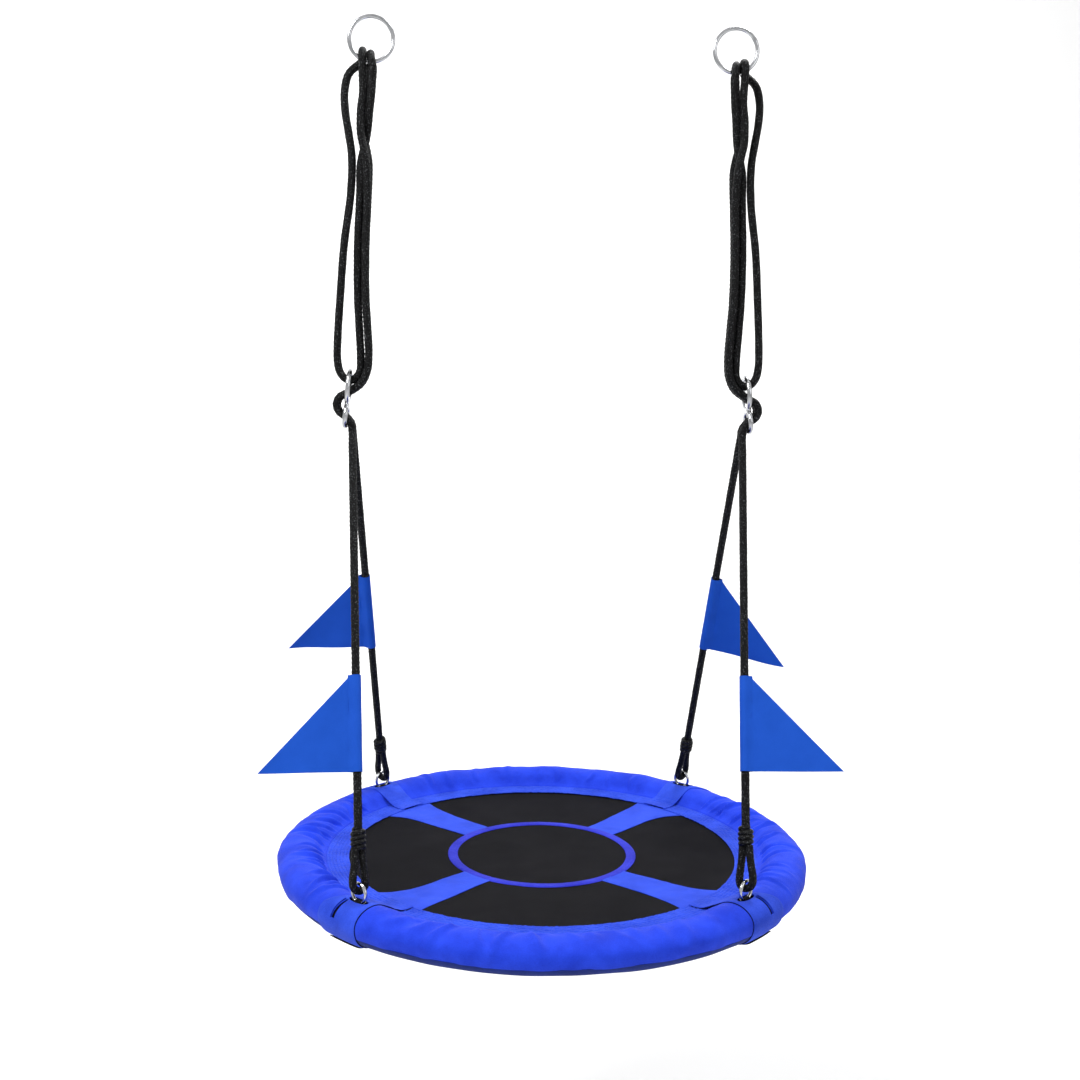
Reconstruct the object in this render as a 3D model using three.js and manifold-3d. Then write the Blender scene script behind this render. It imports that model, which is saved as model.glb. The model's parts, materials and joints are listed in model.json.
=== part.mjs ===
// Saucer nest swing: a padded ring seat on two adjustable rope bridles that hang from two steel rings.
// Millimetres, +Z up, +X across the seat from the left rope to the right one, -Y towards the front.
// The origin is the hang point, midway between the inner tops of the two top rings.
import * as THREE from 'three';
import { mergeVertices } from 'three/addons/utils/BufferGeometryUtils.js';
import Module from 'manifold-3d';

const wasm = await Module();
wasm.setup();

// ---------- driving dimensions ----------
const HANG_HEIGHT = 1560;        // hang point above the centre plane of the seat's frame tube
const GAP = 0.3;                 // between pieces that touch

const RIM_RADIUS = 468;          // centre line of the frame tube
const RIM_FACETS = 32;           // straight stretches that the rim is made of
const TUBE_RADIUS = 14;
const TUBE_WALL = 2;
const SPIGOT_RADIUS = 11.6;
const SPIGOT_LENGTH = 45;
const FOAM_RADIUS = 35.5;
const FOAM_BORE = 15.4;
const FOAM_PRESSED = 0.65;       // height left in the upper half of the foam under the stretched cover
const BOLT = { shank: 3, head: 5.5, grip: 14.6, headHeight: 3 };
const COVER_RADIUS = 39.5;
const COVER_WALL = 2;
const COVER_CROWN = 27;          // the cover's top above the frame plane
const BORDER_INNER = 374;        // where the blue border ends and the black seat shows
const BORDER_TOP = -1;
const CORNER_GAP = 23;           // half the opening in foam and covers at a corner
const STRAP_SIDE = 68;           // a corner strap's reach towards the side cover
const STRAP_END = 32;            // and towards the front or rear cover
const STRAP_WALL = 1.8;
const STRAP_EASE = 1.1;          // room between a strap and the cover under it
const STRAP_SLIT = [44, 20];     // opening in the strap for the lower ring, along and across the rim

const SEAT_RADIUS = 415;
const SEAT_THICKNESS = 1.6;
const SEAT_SAG = 6;
const SEAT_TOP = -3.4;           // at the seat's edge
const SPOKE_WIDTH = [66, 80];    // at the centre ring and at the border
const BAND_THICKNESS = 1.5;
const CENTRE_RING = [168, 188];

const ROPE_RADIUS = 7;
const ROPE_SIDES = 8;
const TOP_RING = { x: 335.5, radius: 40, wire: 4 };
const LOWER_RING = { radius: 17, wire: 3, z: 43 };
const WEB = { inner: 15.3, crown: 4.1, crownZ: 27.2, wall: 2, width: 14 };
const ADJUSTER = { top: 929, upper: 70, lower: 50, width: 66, lowerWidth: 56, rod: 4.5, x: 378, tilt: 5.6 };
const EYE = { length: 54, spread: 8.2, slack: 3 };
const KNOT = { length: 41, radius: 14, chamfer: 2 };
const FLAG = { height: 170, reach: 170, sleeve: 9.6, wall: 1.2, cloth: 1.4 };
const FLAG_PLACE = { front: 272, rear: 417 };   // sleeve centre, measured up the leg from its lower ring
const FLAG_TURN = { front_left: 15, front_right: 20, rear_left: 0, rear_right: 20 };   // degrees to the front

// The rope's strands on one side: outward offset from the top ring, depth, and height above the frame plane.
const BIGHT_ROUTE = [
  [40, 11, 1465.5], [49, 8, 1430], [47, 5, 1393], [41, 2, 1357], [35, -1, 1315], [37, 0, 1248],
  [49, 0, 1157], [56, 0, 1065], [61, 0, 985], [61.5, 0, 945], [57, 0, 923], [48, 0, 911], [38, 0, 907.5],
  [28, 0, 911.5], [20, 0, 924], [18.5, 0, 950], [20, -1, 985], [24, -1, 1065], [24, -1, 1157], [20, -1, 1248],
  [19, 1.5, 1302], [13, 1.5, 1330], [8, 1.5, 1352], [2.5, -7, 1395], [-2, -11, 1435], [-4, -13, 1465.5],
];
const STRAND_ROUTE = {
  front: [
    [15, -13.5, 1465.5], [14, -12, 1430], [18, -11.5, 1393], [18, -13, 1357], [13, -13.7, 1330],
    [8, -13, 1302], [6, -9, 1248], [9, -8.5, 1157], [9, -8.5, 1065], [5, -8.5, 1000], [3, -8, 955],
    [6, -8, 925], [17, -7.8, 903], [41, -7.6, 885], [57, -7.6, 876], [62.5, -7.6, 862], [58, -7.6, 849],
    [45, -7.6, 839], [35.5, -7.8, 826],
  ],
  rear: [
    [4, 13.5, 1465.5], [6, 11, 1430], [11, 10.5, 1393], [14, 16.2, 1352], [9, 16.5, 1330], [5, 15.5, 1302],
    [6, 9.8, 1248], [10, 9, 1157], [10, 9, 1065], [6, 9, 1000], [4, 8, 955], [7, 8, 925],
    [17, 7.8, 903], [41, 7.6, 885], [57, 7.6, 876], [62.5, 7.6, 862], [58, 7.6, 849], [45, 7.6, 839],
    [35.5, 7.8, 826],
  ],
};
const TURN_ROUTES = {
  outer: [
    [15, -13.5, 1469.8], [15.5, -14.3, 1486], [15.5, -10.5, 1497.8], [15.5, 0, 1503], [16, 11, 1499],
    [18.5, 16, 1487], [25, 15, 1477], [36, 12, 1470.5],
  ],
  inner: [
    [-4, -13, 1469.8], [-1.5, -13.5, 1484], [0.5, -9, 1493.5], [1, 0, 1498], [1.5, 9, 1493.5],
    [2.5, 13.5, 1484], [4, 13.5, 1469.8],
  ],
};
const KNEE = [33.5, 8, 812];     // where a leg starts below the adjuster

// ---------- materials ----------
function material(color, roughness, metalness) {
  return new THREE.MeshStandardMaterial({ color, roughness, metalness });
}

const MATERIALS = {
  steel: () => material(0xb8bbbe, 0.25, 1.0),
  galvanised: () => material(0x8f9396, 0.45, 0.9),
  rope: () => material(0x0d0d0f, 0.75, 0.0),
  webbing: () => material(0x14151a, 0.85, 0.0),
  foam: () => material(0x3b3d42, 0.95, 0.0),
  cover: () => material(0x2444e6, 0.7, 0.0),
  trim: () => material(0x3336d8, 0.7, 0.0),
  seat: () => material(0x151517, 0.85, 0.0),
  flag: () => material(0x1e5fd8, 0.8, 0.0),
};

const swing = new THREE.Group();
swing.position.z = -HANG_HEIGHT;

function add(name, geometry, finish, place = null) {
  const mesh = new THREE.Mesh(geometry, MATERIALS[finish]());
  mesh.name = name;
  if (place) {
    mesh.applyMatrix4(place);
  }
  swing.add(mesh);
  return mesh;
}

// ---------- geometry helpers ----------
const vec = (x, y, z) => new THREE.Vector3(x, y, z);

function circle(radius, sides) {
  const points = [];
  for (let i = 0; i < sides; i += 1) {
    const angle = (2 * Math.PI * (i + 0.5)) / sides;
    points.push(new THREE.Vector2(radius * Math.cos(angle), radius * Math.sin(angle)));
  }
  return new THREE.Shape(points);
}

// A rope through a route's points, one straight stretch from each point to the next.
class RopePath extends THREE.CatmullRomCurve3 {
  getUtoTmapping(share) {
    return share;
  }
}

function ropeAlong(points) {
  const extrudePath = new RopePath(points, false, 'centripetal');
  const section = circle(ROPE_RADIUS, ROPE_SIDES);
  return new THREE.ExtrudeGeometry(section, { extrudePath, steps: points.length - 1, bevelEnabled: false });
}

function toSolid(geometry) {
  const bare = geometry.clone();
  bare.deleteAttribute('normal');
  bare.deleteAttribute('uv');
  const merged = mergeVertices(bare, 1e-4);
  return new wasm.Manifold(new wasm.Mesh({
    numProp: 3,
    vertProperties: new Float32Array(merged.attributes.position.array),
    triVerts: new Uint32Array(merged.index.array),
  }));
}

function fromSolid(solid) {
  const mesh = solid.getMesh();
  const geometry = new THREE.BufferGeometry();
  geometry.setAttribute('position', new THREE.BufferAttribute(new Float32Array(mesh.vertProperties), 3));
  geometry.setIndex(new THREE.BufferAttribute(new Uint32Array(mesh.triVerts), 1));
  geometry.computeVertexNormals();
  return geometry;
}

// Angles of a piece's stations along the rim: its two ends and every corner of the faceted rim between them.
const FACET_ANGLE = (2 * Math.PI) / RIM_FACETS;

function rimAngles(from, to) {
  const inside = [];
  for (let k = Math.ceil(from / FACET_ANGLE + 1e-6); k * FACET_ANGLE < to - 1e-6; k += 1) {
    inside.push(k * FACET_ANGLE);
  }
  return [from, ...inside, to];
}

// A piece built along Y, with a whole number of Y for each station, is laid round the rim.
function layOnRim(geometry, angles) {
  const position = geometry.attributes.position;
  for (let i = 0; i < position.count; i += 1) {
    const angle = angles[Math.round(position.getY(i))];
    const fromMiddle = angle - (Math.floor(angle / FACET_ANGLE + 1e-6) + 0.5) * FACET_ANGLE;
    const chord = Math.cos(FACET_ANGLE / 2) / Math.cos(fromMiddle);
    const radius = (RIM_RADIUS + position.getX(i)) * chord;
    position.setXYZ(i, radius * Math.cos(angle), radius * Math.sin(angle), position.getZ(i));
  }
  geometry.computeVertexNormals();
  return geometry;
}

// A cross-section in (outward, up), swept along the rim.
function sweepOnRim(shape, from, to) {
  const angles = rimAngles(from, to);
  const steps = angles.length - 1;
  const geometry = new THREE.ExtrudeGeometry(shape, { depth: steps, steps, bevelEnabled: false });
  geometry.rotateX(Math.PI / 2);
  geometry.translate(0, steps, 0);
  return layOnRim(geometry, angles);
}

// A hollow pipe along the rim. walls gives [outer radius, inner radius] at each of the angles.
function pipeOnRim(angles, walls, sides) {
  const profile = walls.map(([outer], index) => new THREE.Vector2(outer, index));
  walls.forEach(([, inner], index) => {
    profile.splice(walls.length, 0, new THREE.Vector2(inner, index));
  });
  profile.push(profile[0].clone());
  return layOnRim(new THREE.LatheGeometry(profile, sides), angles);
}

const arcPoints = (cx, cy, radius, from, to, count) => Array.from({ length: count + 1 }, (_, i) => {
  const angle = THREE.MathUtils.degToRad(from + ((to - from) * i) / count);
  return new THREE.Vector2(cx + radius * Math.cos(angle), cy + radius * Math.sin(angle));
});

// The line of a rim piece round the padding: circular below the frame plane, pressed to a low crown above it.
function aroundPadding(extra, from, to, count) {
  const radius = COVER_RADIUS + extra;
  const pressed = (COVER_CROWN + extra) / radius;
  return arcPoints(0, 0, radius, from, to, count)
    .map(({ x, y }) => new THREE.Vector2(x, y > 0 ? y * pressed : y));
}

// ---------- corners and legs ----------
const CORNERS = {
  front_left: [-1, -1], front_right: [1, -1], rear_right: [1, 1], rear_left: [-1, 1],
};
const CORNER_OFFSET = RIM_RADIUS * Math.SQRT1_2;

function cornerFrame([sx, sy]) {
  const angle = Math.atan2(sy, sx);
  return {
    angle,
    outward: vec(Math.cos(angle), Math.sin(angle), 0),
    along: vec(-Math.sin(angle), Math.cos(angle), 0),
    point: vec(sx * CORNER_OFFSET, sy * CORNER_OFFSET, 0),
  };
}

function sidePoint(side, [outward, depth, z]) {
  return vec(side * (TOP_RING.x + outward), depth, z);
}

function legFrame([sx, sy]) {
  const foot = vec(sx * CORNER_OFFSET, sy * CORNER_OFFSET, LOWER_RING.z + LOWER_RING.radius);
  const knee = sidePoint(sx, [KNEE[0], sy * KNEE[1], KNEE[2]]);
  const up = knee.clone().sub(foot).normalize();
  return { foot, knee, up, at: (distance) => foot.clone().addScaledVector(up, distance) };
}

// ---------- top rings and rope turns ----------
const SIDES = { left: -1, right: 1 };
const RING_CENTRE_Z = HANG_HEIGHT - (TOP_RING.radius - TOP_RING.wire);

for (const [name, side] of Object.entries(SIDES)) {
  const ring = new THREE.TorusGeometry(TOP_RING.radius, TOP_RING.wire, 7, 18);
  const place = new THREE.Matrix4().makeTranslation(side * TOP_RING.x, 0, RING_CENTRE_Z)
    .multiply(new THREE.Matrix4().makeRotationX(Math.PI / 2));
  add(`${name}_top_ring`, ring, 'steel', place);

  for (const [turn, route] of Object.entries(TURN_ROUTES)) {
    add(`${name}_${turn}_turn`, ropeAlong(route.map((point) => sidePoint(side, point))), 'rope');
  }
}

// ---------- rope strands, legs, knots and adjusters ----------
// A figure-eight of two welded rod loops, standing in the plane that faces the other rope.
function adjusterGeometry() {
  const loops = [
    [ADJUSTER.upper, ADJUSTER.width, -ADJUSTER.upper / 2],
    [ADJUSTER.lower, ADJUSTER.lowerWidth, ADJUSTER.rod * 1.6 - ADJUSTER.upper - ADJUSTER.lower / 2],
  ];
  const solids = loops.map(([height, width, centreZ]) => {
    const mean = (height + width) / 4;
    const loop = new THREE.TorusGeometry(mean - ADJUSTER.rod, ADJUSTER.rod, 6, 16);
    loop.rotateY(Math.PI / 2);
    loop.scale(1, width / (2 * mean), height / (2 * mean));
    loop.translate(0, 0, centreZ);
    return toSolid(loop);
  });
  return fromSolid(solids[0].add(solids[1]));
}

function eyeAndKnot(corner) {
  const frame = cornerFrame(corner);
  const leg = legFrame(corner);
  const across = frame.outward.clone().addScaledVector(leg.up, -frame.outward.dot(leg.up)).normalize();
  const turn = LOWER_RING.wire + ROPE_RADIUS + EYE.slack;
  const knotBase = leg.at(EYE.length);
  const route = [];
  for (const sign of [-1, 1]) {
    const half = [
      knotBase.clone().addScaledVector(across, sign * 7.2).addScaledVector(leg.up, 4),
      leg.at(EYE.length * 0.8).addScaledVector(across, sign * 7.6),
      leg.at(EYE.length * 0.45).addScaledVector(across, sign * (EYE.spread + 2)),
      leg.at(6).addScaledVector(across, sign * turn),
      leg.foot.clone().addScaledVector(across, sign * turn * 0.92).add(vec(0, 0, -turn * 0.38)),
      leg.foot.clone().addScaledVector(across, sign * turn * 0.55).add(vec(0, 0, -turn * 0.84)),
    ];
    route.push(...(sign < 0 ? half : half.reverse()));
    if (sign < 0) {
      route.push(leg.foot.clone().add(vec(0, 0, -turn)));
    }
  }
  const eye = ropeAlong(route);
  const shoulder = KNOT.radius - KNOT.chamfer;
  const profile = [
    [0, 0], [shoulder, 0], [KNOT.radius, KNOT.chamfer], [KNOT.radius, KNOT.length - KNOT.chamfer],
    [shoulder, KNOT.length], [0, KNOT.length],
  ].map(([x, y]) => new THREE.Vector2(x, y));
  const knot = new THREE.LatheGeometry(profile, 8);
  knot.applyQuaternion(new THREE.Quaternion().setFromUnitVectors(vec(0, 1, 0), leg.up));
  knot.translate(...knotBase.toArray());
  return fromSolid(toSolid(eye).add(toSolid(knot)));
}

// A flag: a sleeve round the leg with a doubled right-angled triangle of cloth sewn to it.
function flagGeometry(corner, name) {
  const [sx, sy] = corner;
  const leg = legFrame(corner);
  const profile = [
    [FLAG.sleeve, 0], [FLAG.sleeve, FLAG.height], [FLAG.sleeve - FLAG.wall, FLAG.height],
    [FLAG.sleeve - FLAG.wall, 0], [FLAG.sleeve, 0],
  ].map(([x, y]) => new THREE.Vector2(x, y));
  const sleeve = new THREE.LatheGeometry(profile, 10);
  sleeve.rotateX(Math.PI / 2);
  const start = FLAG.sleeve - FLAG.wall / 2;
  const outline = new THREE.Shape([
    new THREE.Vector2(start, 0), new THREE.Vector2(FLAG.reach, 0), new THREE.Vector2(FLAG.reach, 2),
    new THREE.Vector2(start, FLAG.height - 4),
  ]);
  const cloth = new THREE.ExtrudeGeometry(outline, { depth: FLAG.cloth, bevelEnabled: false });
  cloth.translate(0, 0, -FLAG.cloth / 2);
  cloth.rotateX(Math.PI / 2);
  const flag = fromSolid(toSolid(sleeve).add(toSolid(cloth)));
  const reach = vec(sx, 0, 0).addScaledVector(leg.up, -sx * leg.up.x).normalize();
  reach.applyAxisAngle(leg.up, THREE.MathUtils.degToRad(-FLAG_TURN[name] * sx));
  const normal = leg.up.clone().cross(reach);
  const base = leg.at(FLAG_PLACE[sy < 0 ? 'front' : 'rear'] - FLAG.height / 2);
  flag.applyMatrix4(new THREE.Matrix4().makeBasis(reach, normal, leg.up).setPosition(base));
  return flag;
}

for (const [name, side] of Object.entries(SIDES)) {
  const bight = BIGHT_ROUTE.map((point) => sidePoint(side, point));
  add(`${name}_rope_bight`, ropeAlong(bight), 'rope');
  const hang = new THREE.Matrix4().makeTranslation(side * (ADJUSTER.x - ADJUSTER.tilt), 0, ADJUSTER.top)
    .multiply(new THREE.Matrix4().makeRotationY(THREE.MathUtils.degToRad(-side * ADJUSTER.tilt)));
  add(`${name}_adjuster`, adjusterGeometry(), 'steel', hang);
}

for (const [name, corner] of Object.entries(CORNERS)) {
  const [sx, sy] = corner;
  const leg = legFrame(corner);
  const strand = STRAND_ROUTE[sy < 0 ? 'front' : 'rear'].map((point) => sidePoint(sx, point));
  const legTop = leg.knee.clone().addScaledVector(leg.up, -14);
  strand.push(leg.knee, legTop);
  add(`${name}_strand`, ropeAlong(strand), 'rope');
  const legStart = legTop.clone().addScaledVector(leg.up, -GAP);
  const legEnd = leg.at(EYE.length + KNOT.length + GAP);
  add(`${name}_leg`, ropeAlong([legStart, legEnd]), 'rope');
  add(`${name}_eye_knot`, eyeAndKnot(corner), 'rope');
  add(`${name}_flag`, flagGeometry(corner, name), 'flag');
}

// ---------- frame, foam and lower rings ----------
const QUARTER = Math.PI / 2;
const CORNER_GAP_ANGLE = CORNER_GAP / RIM_RADIUS;
const SIDE_ANGLES = { front: -QUARTER, right: 0, rear: QUARTER, left: 2 * QUARTER };
const PIPE_SIDES = 8;

// The frame pipes join at the middle of each side, each with a spigot in the next one, held by a bolt.
const spigotAngle = SPIGOT_LENGTH / RIM_RADIUS;
const boltAngle = spigotAngle * 0.55;

function boltPlace(middle) {
  const angle = middle + boltAngle;
  const radius = (RIM_RADIUS * Math.cos(FACET_ANGLE / 2)) / Math.cos(boltAngle - FACET_ANGLE / 2);
  return vec(radius * Math.cos(angle), radius * Math.sin(angle), 0);
}

function upright(radius, height, middle, sides = 8) {
  const post = new THREE.CylinderGeometry(radius, radius, height, sides);
  post.rotateX(QUARTER);
  post.translate(...boltPlace(middle).toArray());
  return toSolid(post);
}

function frameTube(middle) {
  const end = middle + QUARTER;
  const edge = GAP / RIM_RADIUS;
  const angles = rimAngles(middle, end - edge);
  const walls = angles.map(() => [TUBE_RADIUS, TUBE_RADIUS - TUBE_WALL]);
  const spigot = [SPIGOT_RADIUS, SPIGOT_RADIUS - TUBE_WALL];
  walls[walls.length - 1] = [TUBE_RADIUS, spigot[1]];
  angles.push(end - edge / 2, end, end + spigotAngle);
  walls.push(spigot, spigot, spigot);
  const pipe = toSolid(pipeOnRim(angles, walls, PIPE_SIDES));
  const holes = [middle, end].map((place) => upright(BOLT.shank + GAP, 40, place));
  return fromSolid(pipe.subtract(holes[0]).subtract(holes[1]));
}

function boltGeometry(middle) {
  const shank = upright(BOLT.shank, 2 * BOLT.grip + 1, middle);
  const head = upright(BOLT.head, BOLT.headHeight, middle, 6);
  const reach = BOLT.grip + BOLT.headHeight / 2;
  return fromSolid(shank.add(head.translate(0, 0, -reach)).add(head.translate(0, 0, reach)));
}

function foamGeometry(middle) {
  const half = QUARTER / 2 - CORNER_GAP_ANGLE;
  const angles = rimAngles(middle - half, middle + half);
  const pipe = pipeOnRim(angles, angles.map(() => [FOAM_RADIUS, FOAM_BORE]), PIPE_SIDES);
  const position = pipe.attributes.position;
  for (let i = 0; i < position.count; i += 1) {
    if (position.getZ(i) > TUBE_RADIUS + TUBE_WALL) {
      position.setZ(i, position.getZ(i) * FOAM_PRESSED);
    }
  }
  const sleeve = toSolid(pipe);
  return fromSolid(sleeve.subtract(upright(BOLT.head + 2, 2 * (BOLT.grip + BOLT.headHeight + 1), middle)));
}

function coverGeometry(middle) {
  const half = QUARTER / 2 - CORNER_GAP_ANGLE;
  const inner = BORDER_INNER - RIM_RADIUS;
  const outline = [
    new THREE.Vector2(inner, BORDER_TOP), ...aroundPadding(0, 162, -164, 12),
    ...aroundPadding(-COVER_WALL, -163, 165, 12),
    new THREE.Vector2(inner, BORDER_TOP - COVER_WALL),
  ];
  return sweepOnRim(new THREE.Shape(outline), middle - half, middle + half);
}

for (const [name, middle] of Object.entries(SIDE_ANGLES)) {
  add(`${name}_frame_tube`, frameTube(middle), 'galvanised');
  add(`${name}_frame_bolt`, boltGeometry(middle), 'steel');
  add(`${name}_foam`, foamGeometry(middle), 'foam');
  add(`${name}_rim_cover`, coverGeometry(middle), 'cover');
}

function webGeometry() {
  const lean = THREE.MathUtils.radToDeg(Math.acos((WEB.inner - WEB.crown) / WEB.crownZ));
  const ring = (extra) => [
    ...arcPoints(0, 0, WEB.inner + extra, 90 + lean, 450 - lean, 12),
    ...arcPoints(0, WEB.crownZ, WEB.crown + extra, 90 - lean, 90 + lean, 5),
  ];
  const shape = new THREE.Shape(ring(WEB.wall));
  shape.holes.push(new THREE.Path(ring(0).reverse()));
  const band = new THREE.ExtrudeGeometry(shape, { depth: WEB.width, bevelEnabled: false });
  band.translate(0, 0, -WEB.width / 2);
  return band;
}

function strapGeometry(corner) {
  const { angle } = cornerFrame(corner);
  const towardsEnd = corner[0] * corner[1];
  const inner = BORDER_INNER + 1 - RIM_RADIUS;
  const flangeZ = BORDER_TOP + 2 * GAP;
  const outline = [
    new THREE.Vector2(inner, flangeZ + STRAP_WALL), ...aroundPadding(STRAP_EASE + STRAP_WALL, 159, -150, 14),
    ...aroundPadding(STRAP_EASE, -150, 161.5, 14), new THREE.Vector2(inner, flangeZ),
  ];
  const reach = [STRAP_SIDE / RIM_RADIUS, STRAP_END / RIM_RADIUS];
  const [before, after] = towardsEnd > 0 ? reach : [...reach].reverse();
  const band = toSolid(sweepOnRim(new THREE.Shape(outline), angle - before, angle + after));
  const slit = new THREE.BoxGeometry(STRAP_SLIT[1], STRAP_SLIT[0], COVER_RADIUS);
  slit.rotateZ(angle);
  slit.translate(corner[0] * CORNER_OFFSET, corner[1] * CORNER_OFFSET, COVER_RADIUS);
  return fromSolid(band.subtract(toSolid(slit)));
}

function seatTopAt(radius) {
  return SEAT_TOP - SEAT_SAG * (1 - (radius / SEAT_RADIUS) ** 2);
}

function spokeGeometry(corner) {
  const { angle } = cornerFrame(corner);
  const from = CENTRE_RING[1] + 1;
  const to = BORDER_INNER - 5;
  const [narrow, wide] = SPOKE_WIDTH.map((width) => width / 2);
  const outline = new THREE.Shape([
    new THREE.Vector2(from, -narrow), new THREE.Vector2(to, -wide), new THREE.Vector2(to, wide),
    new THREE.Vector2(from, narrow),
  ]);
  const band = new THREE.ExtrudeGeometry(outline, { depth: BAND_THICKNESS, bevelEnabled: false });
  const position = band.attributes.position;
  const lift = GAP + 0.2;
  for (let i = 0; i < position.count; i += 1) {
    const along = position.getX(i) < (from + to) / 2 ? from : to + 6;
    position.setZ(i, position.getZ(i) + seatTopAt(along) + lift);
  }
  band.rotateZ(angle);
  band.computeVertexNormals();
  return band;
}

for (const [name, corner] of Object.entries(CORNERS)) {
  const frame = cornerFrame(corner);
  const standing = new THREE.Matrix4().makeBasis(frame.along, vec(0, 0, 1), frame.outward);
  standing.setPosition(frame.point.clone().setZ(LOWER_RING.z));
  const ring = new THREE.TorusGeometry(LOWER_RING.radius, LOWER_RING.wire, 7, 14);
  add(`${name}_lower_ring`, ring, 'steel', standing);
  const across = new THREE.Matrix4().makeBasis(frame.outward, vec(0, 0, 1), frame.along.clone().negate());
  across.setPosition(frame.point);
  add(`${name}_ring_webbing`, webGeometry(), 'webbing', across);
  add(`${name}_corner_strap`, strapGeometry(corner), 'cover');
  add(`${name}_spoke`, spokeGeometry(corner), 'cover');
}

// ---------- seat ----------
const seatRadii = [0, 0.4, 0.7, 1].map((share) => share * SEAT_RADIUS);
const seatProfile = [
  ...seatRadii.map((radius) => new THREE.Vector2(radius, seatTopAt(radius) - SEAT_THICKNESS)),
  ...[...seatRadii].reverse().map((radius) => new THREE.Vector2(radius, seatTopAt(radius))),
];
const seat = new THREE.LatheGeometry(seatProfile, RIM_FACETS);
seat.rotateX(Math.PI / 2);
add('seat_panel', seat, 'seat');

const ringShape = new THREE.Shape(circle(CENTRE_RING[1], 28).getPoints());
ringShape.holes.push(new THREE.Path(circle(CENTRE_RING[0], 28).getPoints().reverse()));
const centreRing = new THREE.ExtrudeGeometry(ringShape, { depth: BAND_THICKNESS, bevelEnabled: false });
centreRing.translate(0, 0, seatTopAt(CENTRE_RING[1]) + GAP + 0.2);
add('centre_ring', centreRing, 'trim');

export default swing;
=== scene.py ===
"""Saucer nest swing: ropes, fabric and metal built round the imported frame.

Metres, +Z up, origin at the hang point.
"""

import json
import math
import random

import bmesh
import bpy
import numpy as np
from mathutils import Matrix, Vector, noise


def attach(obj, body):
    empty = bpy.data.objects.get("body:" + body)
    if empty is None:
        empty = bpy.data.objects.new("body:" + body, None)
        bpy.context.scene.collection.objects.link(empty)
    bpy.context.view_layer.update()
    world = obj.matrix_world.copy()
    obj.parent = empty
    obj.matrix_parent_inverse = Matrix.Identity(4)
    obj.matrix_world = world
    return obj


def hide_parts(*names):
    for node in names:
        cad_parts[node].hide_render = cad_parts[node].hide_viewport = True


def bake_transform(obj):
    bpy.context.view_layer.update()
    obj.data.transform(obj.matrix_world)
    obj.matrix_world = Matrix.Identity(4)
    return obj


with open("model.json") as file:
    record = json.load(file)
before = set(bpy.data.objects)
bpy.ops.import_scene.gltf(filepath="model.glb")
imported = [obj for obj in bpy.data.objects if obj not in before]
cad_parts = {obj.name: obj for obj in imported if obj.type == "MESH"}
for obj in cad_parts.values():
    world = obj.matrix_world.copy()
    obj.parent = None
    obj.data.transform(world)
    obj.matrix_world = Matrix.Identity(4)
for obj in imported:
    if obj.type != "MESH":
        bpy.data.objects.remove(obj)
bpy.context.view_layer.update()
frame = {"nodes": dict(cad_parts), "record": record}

# ---------- driving sizes ----------
PLANE = -1.560               # height of the frame tube's centre plane
RIM_RADIUS = 0.468
COVER_RADIUS = 0.0395
BORDER_INNER = 0.374
COVER_CROWN = 0.027          # the cover's top above the frame plane, pressed down by the stretched cloth
MIDDLE_CROWN = {"front": 0.021, "right": 0.026, "rear": 0.029, "left": 0.026}
CORNER_GAP = 0.023
STRAP_SIDE = (0.030, 0.057)  # a corner strap's reach towards the side cover, on top and at the outside
STRAP_END = 0.032            # and towards the front or rear cover
STRAP_LIFT = 0.0022          # a strap's top above the cover under it
UNDER_LAP = 1.146            # degrees by which the lower panel laps over the seam
LOWER_SEAM = -26             # degrees round the padding's section
SEAT_RADIUS = 0.428
SEAT_SAG = 0.006
SEAT_TOP = -0.0034
SEAT_EDGE = 0.415            # where SEAT_TOP is measured
CENTRE_BAND = (0.1655, 0.1825)
SPOKE_WIDTH = (0.066, 0.080)

ROPE_RADIUS = 0.0073
ROPE_STEP = 0.0021
EYE_ROPE = 0.0066
TOP_RING = {"x": 0.3355, "radius": 0.040, "wire": 0.004}
LOWER_RING = {"radius": 0.017, "wire": 0.003, "z": 0.043}
ADJUSTER = {"top": 0.929, "x": 0.378, "tilt": 5.6, "rod": 0.0045}
ADJUSTER_LOOPS = ((0.070, 0.066, -0.035), (0.050, 0.056, -0.0878))   # height, width, middle from the top
RING_STEPS = 96
EYE_LENGTH = 0.054
EYE_SPREAD = 0.0082
EYE_SLACK = 0.003
KNOT_LENGTH = 0.041
KNOT_WRAPS = 4
KNOT_CORD = 0.0047
FLAG_HEIGHT = 0.170
FLAG_REACH = 0.170
FLAG_PLACE = {"front": 0.272, "rear": 0.417}
FLAG_TURN = {"front_left": 15, "front_right": 20, "rear_left": 0, "rear_right": 20}
FOAM = {"outer": 0.0352, "inner": 0.0156, "pressed": 0.54}
STITCH = {"length": 0.0031, "pitch": 0.0042, "radius": 0.00042}

SIDES = {"left": -1, "right": 1}
CORNERS = {"front_left": (-1, -1), "front_right": (1, -1), "rear_right": (1, 1), "rear_left": (-1, 1)}
QUARTERS = {"front": -90, "right": 0, "rear": 90, "left": 180}

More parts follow.
